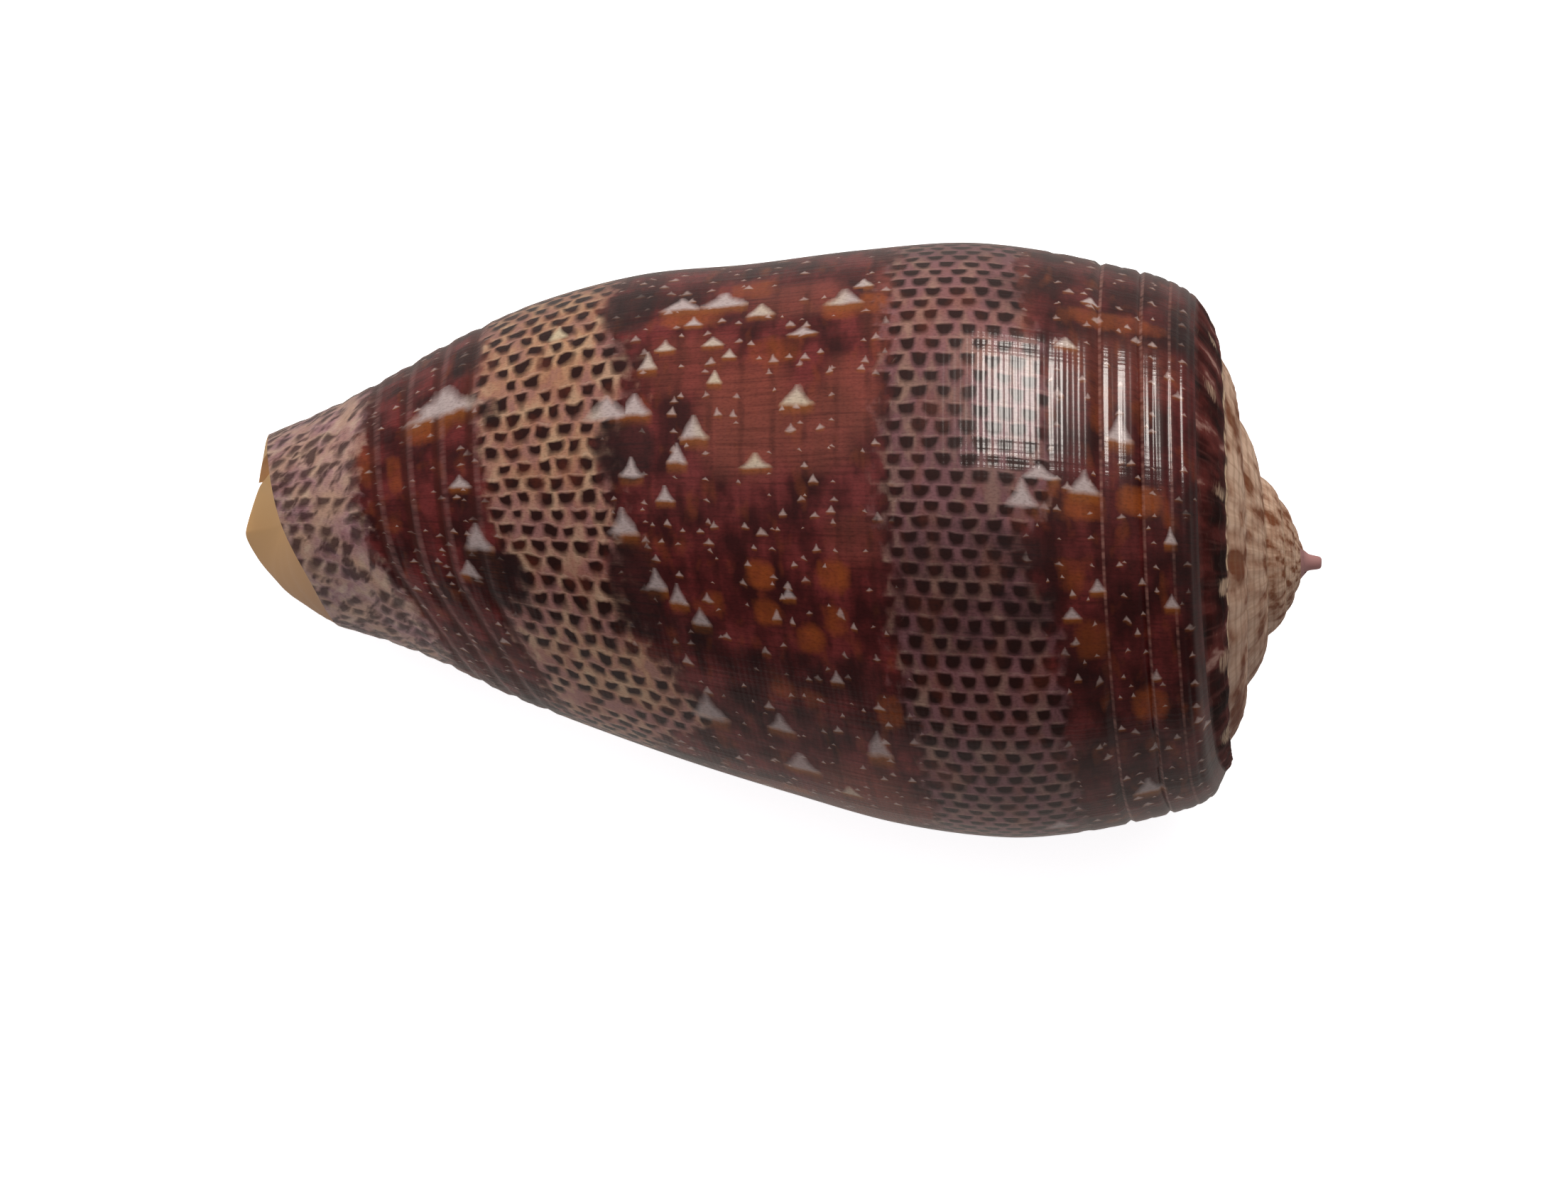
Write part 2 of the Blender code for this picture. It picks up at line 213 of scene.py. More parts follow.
def shell_surface():
    """Vertices, faces, face-corner coordinates along the coil, and each face's finish."""
    chunks = []
    faces = []
    corners = []
    finish = []
    total = 0

    def grid(depth, radius, theta):
        nonlocal total
        points = pose(depth, radius, theta)
        chunks.append(points.reshape(-1, 3))
        index = np.arange(points[..., 0].size).reshape(points.shape[:-1]) + total
        total += index.size
        return index

    def quads(index, u, v, slot):
        parts = (index[:-1, :-1], index[:-1, 1:], index[1:, 1:], index[1:, :-1])
        us = (u[:-1, :-1], u[:-1, 1:], u[1:, 1:], u[1:, :-1])
        vs = (v[:-1, :-1], v[:-1, 1:], v[1:, 1:], v[1:, :-1])
        faces.extend(np.stack(parts, axis=-1).reshape(-1, 4).tolist())
        corners.append(np.stack([np.stack(us, -1), np.stack(vs, -1)], -1).reshape(-1, 2))
        finish.extend([slot] * parts[0].size)

    def patch(face, slot, u=0.0, v=0.0):
        faces.append([int(i) for i in face])
        corners.append(np.tile([[u, v]], (len(face), 1)))
        finish.append(slot)

    per_turn = int(360 / COLUMN)
    last = int(round(-FIRST / COLUMN))
    turn = last - per_turn
    angles = FIRST + COLUMN * np.arange(last + 1)

    # Ramp of every whorl, sharing its edges with the whorls beside it.
    t = np.arange(RAMP_ROWS) / RAMP_ROWS
    inner_edge = suture(angles)
    outer_edge = keel(angles)
    next_suture = suture(angles + 360)
    on_spire = angles <= -360 + 1e-6
    outer_depth = np.where(on_spire, next_suture[0], outer_edge[0])
    outer_radius = np.where(on_spire, next_suture[1], outer_edge[1])
    bulge = 0.27 * np.minimum(1, inner_edge[1] / 4)[:, None] * np.sin(math.pi * t)[None] ** 0.8
    ramp_depth = inner_edge[0][:, None] + (outer_depth - inner_edge[0])[:, None] * t - bulge
    ramp_radius = inner_edge[1][:, None] + (outer_radius - inner_edge[1])[:, None] * t
    wrinkle = np.radians(angles)[:, None]
    size = np.minimum(1, inner_edge[1] / 8)[:, None]
    threads = 0.5 - 0.5 * np.cos(2 * math.pi * t * 4)[None]
    waves = 0.03 * np.sin(wrinkle * 37 + 2 * np.sin(wrinkle * 5))
    ramp_depth = ramp_depth + size * (0.05 * threads + waves)
    own = grid(ramp_depth, ramp_radius, angles[:, None])

    # Outer face of the last whorl, with closer rows at the shoulder.
    shares = np.concatenate((np.linspace(0, 0.08, 41)[:-1], np.linspace(0.08, 1, BODY_ROWS - 39)))
    body_angles = angles[turn:]
    depth, radius = outline(body_angles[:, None], shares[None])
    radius = radius - relief(body_angles[:, None], shares[None])
    body = grid(depth, radius, body_angles[:, None])
    body[0, 0] = own[last, 0]
    beyond = np.concatenate((own[per_turn:last + 1, 0], body[1:, 0]))
    ramp = np.concatenate((own, beyond[:, None]), axis=1)
    u = np.repeat(angles[:, None] / 360, RAMP_ROWS + 1, axis=1)
    v = np.repeat(np.append(t, 1.0)[None] - 1, last + 1, axis=0)
    quads(ramp, u, v, 0)
    u = np.repeat(body_angles[:, None] / 360, BODY_ROWS + 1, axis=1)
    v = np.repeat(shares[None], per_turn + 1, axis=0)
    quads(body, u, v, 0)

    # Slit: inner face of the wall, and the older whorl facing it.
    steps = int(SLIT_ANGLE / COLUMN / INNER_EVERY + 0.5)
    inner_angles = -COLUMN * INNER_EVERY * np.arange(steps + 1)[:, None]
    inner_shares = shares[::INNER_ROWS_EVERY][None]
    depth, radius = inner_face(inner_angles, inner_shares)
    inner = grid(depth, radius, inner_angles)
    top = np.clip(1 - inner_shares / 0.03, 0, 1)
    gap = slit_gap(inner_angles, inner_shares)
    gap = gap + (radius[:, :1] - suture(inner_angles)[1] - 0.25 - gap) * top
    shifted = smooth(inner_angles - 360, MARGIN, MARGIN_DEPTH) - outline(inner_angles, 1.0)[0]
    drawn = depth + shifted * inner_shares**6
    drawn = drawn - np.clip(1 + inner_angles / 30, 0, 1) * np.clip(1 - inner_shares / 0.045, 0, 1) * 0.8
    core = grid(drawn[1:], (radius - gap)[1:], inner_angles[1:])
    flat_u = np.zeros(inner.shape)
    flat_v = np.repeat(inner_shares, steps + 1, axis=0)
    quads(inner[::-1], flat_u, flat_v, 1)
    quads(core, flat_u[1:], flat_v[1:], 1)
    outer_lip = body[-1]
    first_core = body[0]
    for i in range(inner.shape[1] - 1):
        fine = slice(i * INNER_ROWS_EVERY, (i + 1) * INNER_ROWS_EVERY + 1)
        patch([inner[0, i + 1], inner[0, i], *outer_lip[fine]], 1)
        patch([core[0, i], core[0, i + 1], *first_core[fine][::-1]], 1)
        patch([inner[-1, i], inner[-1, i + 1], core[-1, i + 1], core[-1, i]], 1)
    whole_core = np.concatenate((first_core[::INNER_ROWS_EVERY][None], core))
    for m in range(steps):
        patch([inner[m, 0], inner[m + 1, 0], whole_core[m + 1, 0], whole_core[m, 0]], 1)
        rim = body[::-1, -1][m * INNER_EVERY:(m + 1) * INNER_EVERY + 1]
        patch([rim[0], inner[m, -1], inner[m + 1, -1], *rim[:0:-1]], 1)
    patch([*ramp[last], inner[0, 0]], 1)

    # Anterior end: rings that run in from the margin to a slanting hollow.
    closing = per_turn - steps * INNER_EVERY
    loop = np.concatenate((body[:closing, -1], core[::-1, -1]))
    loop_theta = np.concatenate((body_angles[:closing], inner_angles[1:, 0][::-1]))
    loop_depth = np.concatenate((outline(body_angles[:closing], 1.0)[0], drawn[1:, -1][::-1]))
    loop_radius = np.concatenate((outline(body_angles[:closing], 1.0)[1], (radius - gap)[1:, -1][::-1]))
    stagger = np.zeros(loop.size)
    stagger[closing - 6:closing + 1] = -np.arange(7.0)
    rings = [loop]
    for scale in (0.93, 0.86, 0.78, 0.66, 0.52, 0.36, 0.18):
        slanted = END_DEPTH - END_SLANT * loop_radius * scale * np.cos(around(loop_theta)) - END_HOLLOW
        kept = scale**3
        ring_depth = slanted * (1 - kept) + loop_depth * kept
        rings.append(grid(ring_depth, loop_radius * scale, loop_theta + stagger))
    middle = grid(np.array([END_DEPTH - END_HOLLOW]), np.array([0.0]), np.array([0.0]))[0]
    count = loop.size
    corner = (body[closing, -1], inner[-1, -1])
    for low, high in zip(rings[:-1], rings[1:]):
        for n in range(count):
            after = (n + 1) % count
            if low is loop and n == closing - 1:
                patch([low[n], high[n], high[after], corner[0]], 1)
                patch([corner[0], high[after], corner[1]], 1)
                patch([corner[1], high[after], low[after]], 1)
            else:
                patch([low[n], high[n], high[after], low[after]], 1)
    for n in range(count):
        patch([rings[-1][n], middle, rings[-1][(n + 1) % count]], 1)

    # Smooth nub at the apex.
    nub_depth = np.array([0.68, 0.60, 0.45, 0.32, 0.20, 0.13, 0.09])
    nub_radius = np.array([0.38, 0.355, 0.325, 0.305, 0.28, 0.245, 0.17])
    nub = grid(nub_depth[None], nub_radius[None], angles[:per_turn, None])
    nub = np.concatenate((nub, nub[:1]))
    quads(nub, np.full(nub.shape, -7.0), np.full(nub.shape, -0.5), 0)
    tip = grid(np.array([0.08]), np.array([0.0]), np.array([0.0]))[0]
    for q in range(per_turn):
        patch([nub[q, 0], nub[q + 1, 0], ramp[q + 1, 0], ramp[q, 0]], 0, -7.0, -0.5)
        patch([nub[q + 1, -1], nub[q, -1], tip], 0, -7.0, -0.5)
    patch([nub[0, 0], *ramp[0, ::-1]], 0, -7.0, -0.5)
    return np.concatenate(chunks), faces, np.concatenate(corners), finish


# Colour plan, as growth angle and share of the whorl's length.
# Borders of the six bands, from the shoulder to the anterior end.
BORDER_ANGLE = [-360, -300, -240, -215, -205, -197, -190, -180, -170, -160, -152, -140, -130, -120,
                -110, -95, -80, -40, 0]
BORDERS = [
    [.16, .15, .16, .15, .15, .155, .155, .150, .155, .160, .190, .157, .152, .152, .165, .190, .19,
     .17, .16],
    [.33, .34, .32, .31, .31, .310, .313, .325, .325, .320, .320, .328, .326, .326, .325, .325, .32,
     .33, .33],
    [.62, .60, .64, .62, .58, .545, .560, .600, .620, .625, .610, .620, .630, .600, .600, .628, .63,
     .61, .62],
    [.77, .75, .76, .74, .74, .740, .750, .760, .735, .722, .750, .755, .758, .760, .765, .760, .76,
     .77, .76],
    [.90, .88, .87, .86, .86, .865, .870, .885, .897, .905, .905, .905, .903, .900, .893, .888, .89,
     .90, .90],
]
# Rows of marks in a turn, by growth angle, beside the even rate.
ROW_ANGLE = [-360, -215, -190, -180, -165, -157, -150, -140, -119, -100, -60, 0]
ROW_RATE = [112, 115, 104, 98, 96, 112, 129, 125, 99, 100, 110, 112]
EVEN_RATE = 110
# Blots of cloud, of orange and of lighter ground: share, angle, half width, half height, strength.
DARK = [(.600, -93, .028, 9, .9), (.600, -108, .026, 5, .5), (.600, -132, .033, 7, .9),
        (.600, -164, .030, 12, .95), (.550, -173, .040, 6, .6), (.745, -166, .028, 9, .9),
        (.770, -163, .020, 8, .9), (.768, -146, .020, 5, .5), (.775, -93, .018, 9, .8),
        (.745, -117, .012, 4, .7), (.780, -130, .015, 6, .4), (.190, -151, .034, 4, .75),
        (.180, -161, .036, 5, .7), (.300, -152, .022, 3, .5), (.250, -158, .080, 9, .5),
        (.200, -95, .035, 8, .5), (.010, -150, .020, 16, .7), (.010, -95, .020, 9, .7),
        (.450, -178, .090, 5, .5), (.370, -178, .034, 6, .6), (.120, -172, .035, 9, .4),
        (.060, -150, .022, 7, .3), (.560, -89, .030, 6, .5), (.080, -196, .060, 7, .4),
        (.480, -192, .100, 8, .4), (.245, -159, .100, 15, .5)]
WARM = [(.461, -158, .016, 3, .9), (.384, -157, .017, 3, .9), (.458, -165.5, .014, 3, .8),
        (.384, -166, .014, 3, .7), (.414, -170.5, .016, 3, .9), (.519, -165, .016, 3, .5),
        (.339, -184.5, .014, 4, .8), (.453, -183, .014, 3, .6), (.422, -184.5, .014, 3, .4),
        (.119, -141.7, .022, 3, .9), (.061, -140, .024, 3, .9), (.117, -168, .018, 4, .7),
        (.061, -183, .018, 4, .8), (.165, -139, .022, 2, .8), (.372, -100, .022, 3, .9),
        (.339, -98.5, .016, 3, .8), (.531, -98.5, .032, 3, .8), (.467, -89, .024, 4, .7),
        (.089, -99.5, .055, 3, .6), (.817, -117, .030, 6, .8), (.889, -127, .010, 9, .7),
        (.856, -132, .009, 7, .6), (.875, -186, .010, 6, .6), (.44, -110, .03, 4, .5),
        (.135, -155, .014, 4, .5), (.10, -122, .014, 5, .4), (.87, -150, .016, 5, .4)]
GLOW = [(.470, -125, .050, 13, .7), (.400, -128, .045, 9, .6), (.360, -122, .030, 9, .6),
        (.530, -112, .050, 8, .4), (.420, -95, .050, 6, .5), (.700, -95, .070, 24, .9),
        (.690, -128, .060, 14, .6), (.650, -188, .070, 12, .6), (.260, -100, .080, 16, .8),
        (.240, -178, .060, 12, .3), (.360, -150, .030, 5, .3), (.950, -115, .06, 14, .7),
        (.080, -112, .060, 8, .5), (-.55, -68, .28, 3.5, 1), (-.66, -158, .22, 2.5, .8),
        (-.35, -108, .16, 2.5, .6), (-.60, -134, .22, 1.8, .6), (-.58, -178, .26, 3.5, .6),
        (-.45, -86, .16, 2.5, .6), (-.50, -205, .30, 4, .7)]
# Placed tents: share and angle of the middle of the base, width, height.
TENTS = [(.497, -94.8, .053, 5.8), (.543, -95.2, .043, 5.1), (.369, -98.3, .039, 5.4),
         (.350, -92.8, .021, 3.2), (.457, -99.2, .031, 4.1), (.528, -100.8, .020, 3.1),
         (.575, -112.6, .021, 4.8), (.557, -107.9, .022, 3.3), (.506, -107.4, .024, 2.8),
         (.488, -110.8, .016, 2.3), (.411, -106.3, .031, 2.5), (.617, -124.1, .050, 5.8),
         (.588, -123.9, .035, 5.4), (.416, -123.2, .035, 4.6), (.525, -129.7, .031, 5.4),
         (.460, -136.1, .033, 3.1), (.543, -135.0, .022, 4.6), (.592, -137.8, .025, 4.4),
         (.557, -143.2, .021, 3.3), (.604, -150.6, .033, 5.9), (.118, -139.2, .033, 4.6),
         (.183, -142.4, .034, 5.4), (.164, -137.2, .039, 2.8), (.081, -128.1, .029, 5.4),
         (.799, -114.0, .083, 10.9), (.769, -156.6, .034, 7.7), (.786, -165.6, .025, 5.1),
         (.782, -138.8, .025, 4.1), (.575, -162.8, .024, 5.1), (.553, -165.6, .021, 4.8),
         (.532, -170.0, .021, 4.4), (.357, -196.7, .029, 7.4), (.464, -195.2, .030, 5.4),
         (.544, -196.3, .041, 8.4), (.450, -208.3, .041, 6.7), (.400, -215.0, .025, 4.4),
         (.503, -117.2, .016, 3.3), (.433, -162.2, .015, 2.5), (.392, -179.2, .015, 2.8),
         (.136, -163.3, .020, 2.3), (.031, -161.1, .016, 3.1), (.136, -108.9, .025, 2.5),
         (.111, -94.8, .020, 2.1), (.072, -211.7, .035, 6.4), (.674, -98.5, .022, 5.1),
         (.030, -148.0, .014, 3.4), (.108, -158.0, .018, 2.5)]

# The same kinds of mark, scattered over the sides that the photograph doesn't show.
dice = np.random.default_rng(5)
for low, high in ((-58, -4), (-356, -218)):
    for _ in range(int((high - low) / 7)):
        angle = dice.uniform(low, high)
        middle = dice.choice([.6, .76, .18, .02, .45]) + dice.normal(0, .01)
        DARK.append((middle, angle, dice.uniform(.015, .035), dice.uniform(4, 10), dice.uniform(.4, .9)))
        middle = dice.choice([.47, .38, .7, .26, .95])
        GLOW.append((middle, dice.uniform(low, high), .05, dice.uniform(8, 16), .6))
    for _ in range(int((high - low) / 3)):
        middle = dice.choice([.39, .42, .46, .51, .06, .12, .85]) + dice.normal(0, .01)
        angle = dice.uniform(low, high)
        WARM.append((middle, angle, .017, dice.uniform(2.5, 4), dice.uniform(.5, .9)))
        width = dice.uniform(.015, .042)
        middle = dice.choice([.36, .41, .46, .5, .55, .59, .12, .07, .16, .78, .85]) + dice.normal(0, .012)
        TENTS.append((middle, dice.uniform(low, high), width, width * dice.uniform(120, 175)))


def blots(theta, share, spots):
    """Strength of the strongest blot at each place, fading over its edge."""
    level = np.zeros(theta.shape)
    for middle, angle, half, tall, strength in spots:
        away = np.abs((share - middle) / half) ** 3 + np.abs((theta - angle) / tall) ** 3
        level = np.maximum(level, strength * np.clip((1.7 - away) / 1.4, 0, 1))
    return level


def bands(theta, share):
    """Band coordinate: whole numbers at the borders of the bands."""
    edges = [np.zeros(theta.shape)]
    for row in BORDERS:
        edges.append(np.interp(theta, BORDER_ANGLE, row))
    edges.append(np.ones(theta.shape))
    level = np.zeros(theta.shape)
    for n in range(6):
        level += np.clip((share - edges[n]) / (edges[n + 1] - edges[n]), 0, 1)
    return level


def row_turns(theta):
    """Turns of the coil, stretched where rows of marks lie closer together."""
    fine = np.arange(-360.0, 0.5, 0.5)
    rate = np.interp(fine, ROW_ANGLE, ROW_RATE) / EVEN_RATE
    return np.interp(theta, fine, np.cumsum(rate) / 720)


def tent_coordinates(theta, share, sizes):
    """Each face's own coordinates in the placed tent that covers it, far away where none does."""
    starts = np.concatenate(([0], np.cumsum(sizes)[:-1]))
    face_theta = np.add.reduceat(theta, starts) / sizes
    face_share = np.add.reduceat(share, starts) / sizes
    nearest = np.full(len(sizes), 1.35)
    chosen = np.full(len(sizes), -1)
    for n, (middle, angle, width, tall) in enumerate(TENTS):
        across = np.abs(face_share - middle) / (width / 2 + 0.004)
        up = np.abs(face_theta - angle - 0.3 * tall) / (tall * 0.75 + 0.9)
        away = np.maximum(across, up)
        closer = (away < nearest) & (face_share > 0)
        nearest[closer] = away[closer]
        chosen[closer] = n
    table = np.array(TENTS + [(5.0, 0.0, 0.1, 1.0)])[np.repeat(chosen, sizes)]
    return np.stack([(share - table[:, 0]) / (table[:, 2] / 2), (theta - table[:, 1]) / table[:, 3]], -1)


# The mesh without the points that no face uses, and with a map for each pair of values.
points, faces, corners, finish = shell_surface()
used = np.zeros(len(points), dtype=bool)
for face in faces:
    used[face] = True
place = np.cumsum(used) - 1
faces = [[int(place[i]) for i in face] for face in faces]
mesh = bpy.data.meshes.new("shell_surface")
mesh.from_pydata(points[used].tolist(), [], faces)
angle = corners[:, 0] * 360
share = corners[:, 1]
maps = {
    "coil": corners,
    "tone": np.stack([bands(angle, share), blots(angle, share, DARK)], -1),
    "fields": np.stack([blots(angle, share, WARM), blots(angle, share, GLOW)], -1),
    "lines": np.stack([cord_line(angle, share), row_turns(angle)], -1),
    "tents": tent_coordinates(angle, share, np.array([len(face) for face in faces])),
}
for name, values in maps.items():
    layer = mesh.uv_layers.new(name=name)
    layer.data.foreach_set("uv", values.ravel())
mesh.polygons.foreach_set("material_index", finish)
mesh.polygons.foreach_set("use_smooth", [True] * len(faces))
shell = bpy.data.objects.new("shell_surface", mesh)
bpy.context.scene.collection.objects.link(shell)
work = bmesh.new()
work.from_mesh(mesh)
bmesh.ops.recalc_face_normals(work, faces=work.faces[:])
work.to_mesh(mesh)
work.free()
mesh.set_sharp_from_angle(angle=math.radians(50))


def colour(text):
    """An sRGB hex colour as linear RGBA."""
    parts = [int(text[i:i + 2], 16) / 255 for i in (0, 2, 4)]
    return tuple(c / 12.92 if c < 0.04045 else ((c + 0.055) / 1.055) ** 2.4 for c in parts) + (1.0,)


def node(kind, *values, out=0, stops=(), **settings):
    """Adds a node to the tree at hand, with its settings and its inputs in order, as links,
    numbers or hex colours, and gives back one of its outputs."""
    made = tree.nodes.new("ShaderNode" + kind)
    for name, value in settings.items():
        setattr(made, name, value)
    for socket, value in zip(made.inputs, values):
        if isinstance(value, bpy.types.NodeSocket):
            tree.links.new(value, socket)
        elif value is not None:
            socket.default_value = colour(value) if isinstance(value, str) else value
    if stops:
        elements = made.color_ramp.elements
        while len(elements) < len(stops):
            elements.new(0.5)
        for element, (at, text) in zip(elements, stops):
            element.position = at
            element.color = colour(text)
    return made.outputs[out]


# Outside of the shell: natural shell under a smooth glaze, with the pattern grown into it. The
# eye sees sharp window light over dark red brown, and a duller, chalky cream on the spire.
outside = bpy.data.materials.new("glazed_shell")
outside.use_nodes = True
tree = outside.node_tree
shader = tree.nodes["Principled BSDF"]
# Waves, in radians over the whorl's length or the ramp's width: columns 1.4 mm apart, threads
# 0.25 mm apart and five rings on a ramp. The real threads are finer, and wouldn't show.
COLUMN_WAVE = 188.5
THREAD_WAVE = 1050.0
RING_WAVE = 31.4
# Slant of the marks at the anterior end, as share of the length in a turn.
END_MARK_SLANT = 0.57


def split(name):
    """Both values of one of the surface's own maps."""
    both = node("SeparateXYZ", node("UVMap", uv_map=name))
    return both, both.node.outputs[1]


def noise(across, along, seed, detail=3.0, slant=0.0):
    """Noise on the coil, this many features over the whorl's length and over one turn."""
    side = node("Math", coil_u, slant, coil_v, operation="MULTIPLY_ADD")
    spot = node("CombineXYZ", side, coil_u, seed)
    spot = node("Mapping", spot, None, None, (across, along, 1.0))
    return node("TexNoise", spot, None, 1.0, detail)


def lattice(rows, pitch, seed, wobble, stagger=0.5, slant=0.0, straight=1.0):
    """Cells on the coil: height in the cell, distance from its middle, and three random values."""
    shaken = node("Math", shake_u, wobble, operation="MULTIPLY")
    up = node("Math", row_turn, float(rows), shaken, operation="MULTIPLY_ADD")
    row = node("Math", up, operation="FLOOR")
    odd = node("Math", row, 2.0, operation="FLOORED_MODULO")
    across = node("Math", coil_u, slant, coil_v, operation="MULTIPLY_ADD")
    across = node("Math", across, 1.0 / pitch, operation="MULTIPLY")
    across = node("Math", shake_v, wobble * straight, across, operation="MULTIPLY_ADD")
    across = node("Math", odd, stagger, across, operation="MULTIPLY_ADD")
    column = node("Math", across, operation="FLOOR")
    cell = node("CombineXYZ", row, column, seed)
    rolls = node("SeparateColor", node("TexWhiteNoise", cell, out=1, noise_dimensions="3D"))
    side = node("Math", across, column, operation="SUBTRACT")
    side = node("Math", side, 0.5, operation="SUBTRACT")
    side = node("Math", side, operation="ABSOLUTE")
    high = node("Math", up, row, operation="SUBTRACT")
    return high, side, rolls, rolls.node.outputs[1], rolls.node.outputs[2]


def dots(rows, pitch, seed, wobble, keep, half, soft=0.30, slant=0.0):
    """Dark shield marks, flat toward the lip and rounded behind, with a pale rim above."""
    high, side, roll_size, roll_keep, roll_shift = lattice(rows, pitch, seed, wobble, 0.5, slant)
    size = node("MapRange", roll_size, 0.0, 1.0, 0.84, 1.12)
    side = node("Math", side, half, operation="DIVIDE")
    middle = node("MapRange", roll_shift, 0.0, 1.0, 0.60, 0.70)
    rise = node("Math", high, middle, operation="SUBTRACT")
    below = node("Math", rise, 0.0, operation="MINIMUM")
    below = node("Math", below, 0.62, operation="DIVIDE")
    shoulder = node("Math", side, 2.6, operation="POWER")
    circle = node("Math", below, below, shoulder, operation="MULTIPLY_ADD")
    circle = node("Math", circle, operation="SQRT")
    square = node("Math", side, side, operation="MULTIPLY")
    above = node("Math", square, 0.02, rise, operation="MULTIPLY_ADD")
    above = node("Math", above, 0.22, operation="DIVIDE")
    edge = node("Math", circle, above, operation="MAXIMUM")
    edge = node("Math", edge, size, operation="DIVIDE")
    kept = node("Math", roll_keep, keep, operation="LESS_THAN")
    mark = node("MapRange", edge, 0.94 + soft, 0.94 - soft)
    rim = node("MapRange", above, 0.6, 1.9)
    rim = node("Math", rim, node("MapRange", side, 1.1, 0.2), operation="MULTIPLY")
    return [node("Math", part, kept, operation="MULTIPLY") for part in (mark, rim)]


def tent_shape(side, climb):
    """A bell-sided tent in its own coordinates, and the warm edge under it."""
    left = node("Math", climb, 0.0, operation="MAXIMUM")
    left = node("Math", 1.0, left, operation="SUBTRACT")
    width = node("Math", left, 0.0, operation="MAXIMUM")
    width = node("Math", width, 1.25, operation="POWER")
    edge = node("Math", width, side, operation="SUBTRACT")
    edge = node("Math", edge, node("Math", left, 0.04, operation="LESS_THAN"), operation="SUBTRACT")
    mark = node("MapRange", edge, -0.18, 0.32)
    mark = node("Math", mark, node("MapRange", climb, -0.14, 0.10), operation="MULTIPLY")
    under = node("MapRange", climb, -0.60, -0.08)
    under = node("Math", under, node("Math", climb, 0.10, operation="LESS_THAN"), operation="MULTIPLY")
    return mark, node("Math", under, node("MapRange", side, 1.15, 0.80), operation="MULTIPLY")


def tents(rows, pitch, seed, wobble, keep, sizes, stagger=0.5, straight=1.0):
    """Scattered tents of these least and greatest sizes."""
    cells = lattice(rows, pitch, seed, wobble, stagger, 0.0, straight)
    high, side, roll_size, roll_keep, roll_shift = cells
    size = node("MapRange", roll_size, 0.0, 1.0, *sizes)
    climb = node("Math", high, node("MapRange", roll_shift, 0.0, 1.0, 0.10, 0.55), operation="SUBTRACT")
    climb = node("Math", climb, node("Math", size, 0.62, operation="MULTIPLY"), operation="DIVIDE")
    side = node("Math", side, node("Math", size, 0.46, operation="MULTIPLY"), operation="DIVIDE")
    kept = node("Math", roll_keep, keep, operation="LESS_THAN")
    return [node("Math", part, kept, operation="MULTIPLY") for part in tent_shape(side, climb)]


# The surface's own coordinates, and the noises that several marks share.
where = node("TexCoord", out=3)
shake_u = node("SeparateXYZ", node("TexNoise", where, None, 1000.0, 2.0, out=1))
shake_v = shake_u.node.outputs[1]
coil_u, coil_v = split("coil")
band, dark = split("tone")
warm, glow = split("fields")
cord, row_turn = split("lines")
tent_side, tent_climb = split("tents")
rough = node("Math", noise(60.0, 70.0, 2.0, 4.0), 0.5, operation="SUBTRACT")
field = noise(30.0, 30.0, 3.0)
streak = noise(14.0, 520.0, 5.0, 2.0)
wrinkle = noise(1.0, 220.0, 33.0, 2.0)

# Ground of the pale bands: mauve at the shoulder, peach and cream toward the anterior end.
band = node("Math", rough, 0.35, band, operation="MULTIPLY_ADD")
way = node("Math", band, 6.0, operation="DIVIDE")
dotted = node("ValToRGB", way, stops=[
    (0.0, "000000"), (0.158, "000000"), (0.176, "ffffff"), (0.322, "ffffff"), (0.340, "000000"),
    (0.490, "000000"), (0.510, "ffffff"), (0.656, "ffffff"), (0.676, "000000"), (0.820, "000000"),
    (0.846, "ffffff")])
ground = node("ValToRGB", way, stops=[
    (0.0, "70474a"), (0.34, "70474a"), (0.49, "a67263"), (0.66, "a6766a"),
    (0.83, "b4888c"), (1.0, "a48284")])
pale_ground = node("ValToRGB", way, stops=[
    (0.0, "8c5d5b"), (0.34, "8c5d5b"), (0.49, "b8865f"), (0.66, "b88668"),
    (0.83, "c69c96"), (1.0, "b4928a")])
ground = node("MixRGB", glow, ground, pale_ground)
mottle = noise(48.0, 40.0, 73.0)
cream = node("MapRange", mottle, 0.48, 0.66, 0.0, 0.55)
cream = node("Math", cream, node("MapRange", band, 1.5, 3.0, 0.3, 1.0), operation="MULTIPLY")
ground = node("MixRGB", cream, ground, "c6a888")
ground = node("MixRGB", node("MapRange", mottle, 0.52, 0.38, 0.0, 0.50), ground, "8a5c62")
ground = node("MixRGB", node("MapRange", field, 0.50, 0.64, 0.0, 0.30), ground, "8a4e38")
cream = node("MapRange", noise(26.0, 22.0, 71.0), 0.42, 0.66)
cream = node("Math", node("MapRange", band, 4.6, 5.2), cream, operation="MULTIPLY")
ground = node("MixRGB", cream, ground, "c09a86")

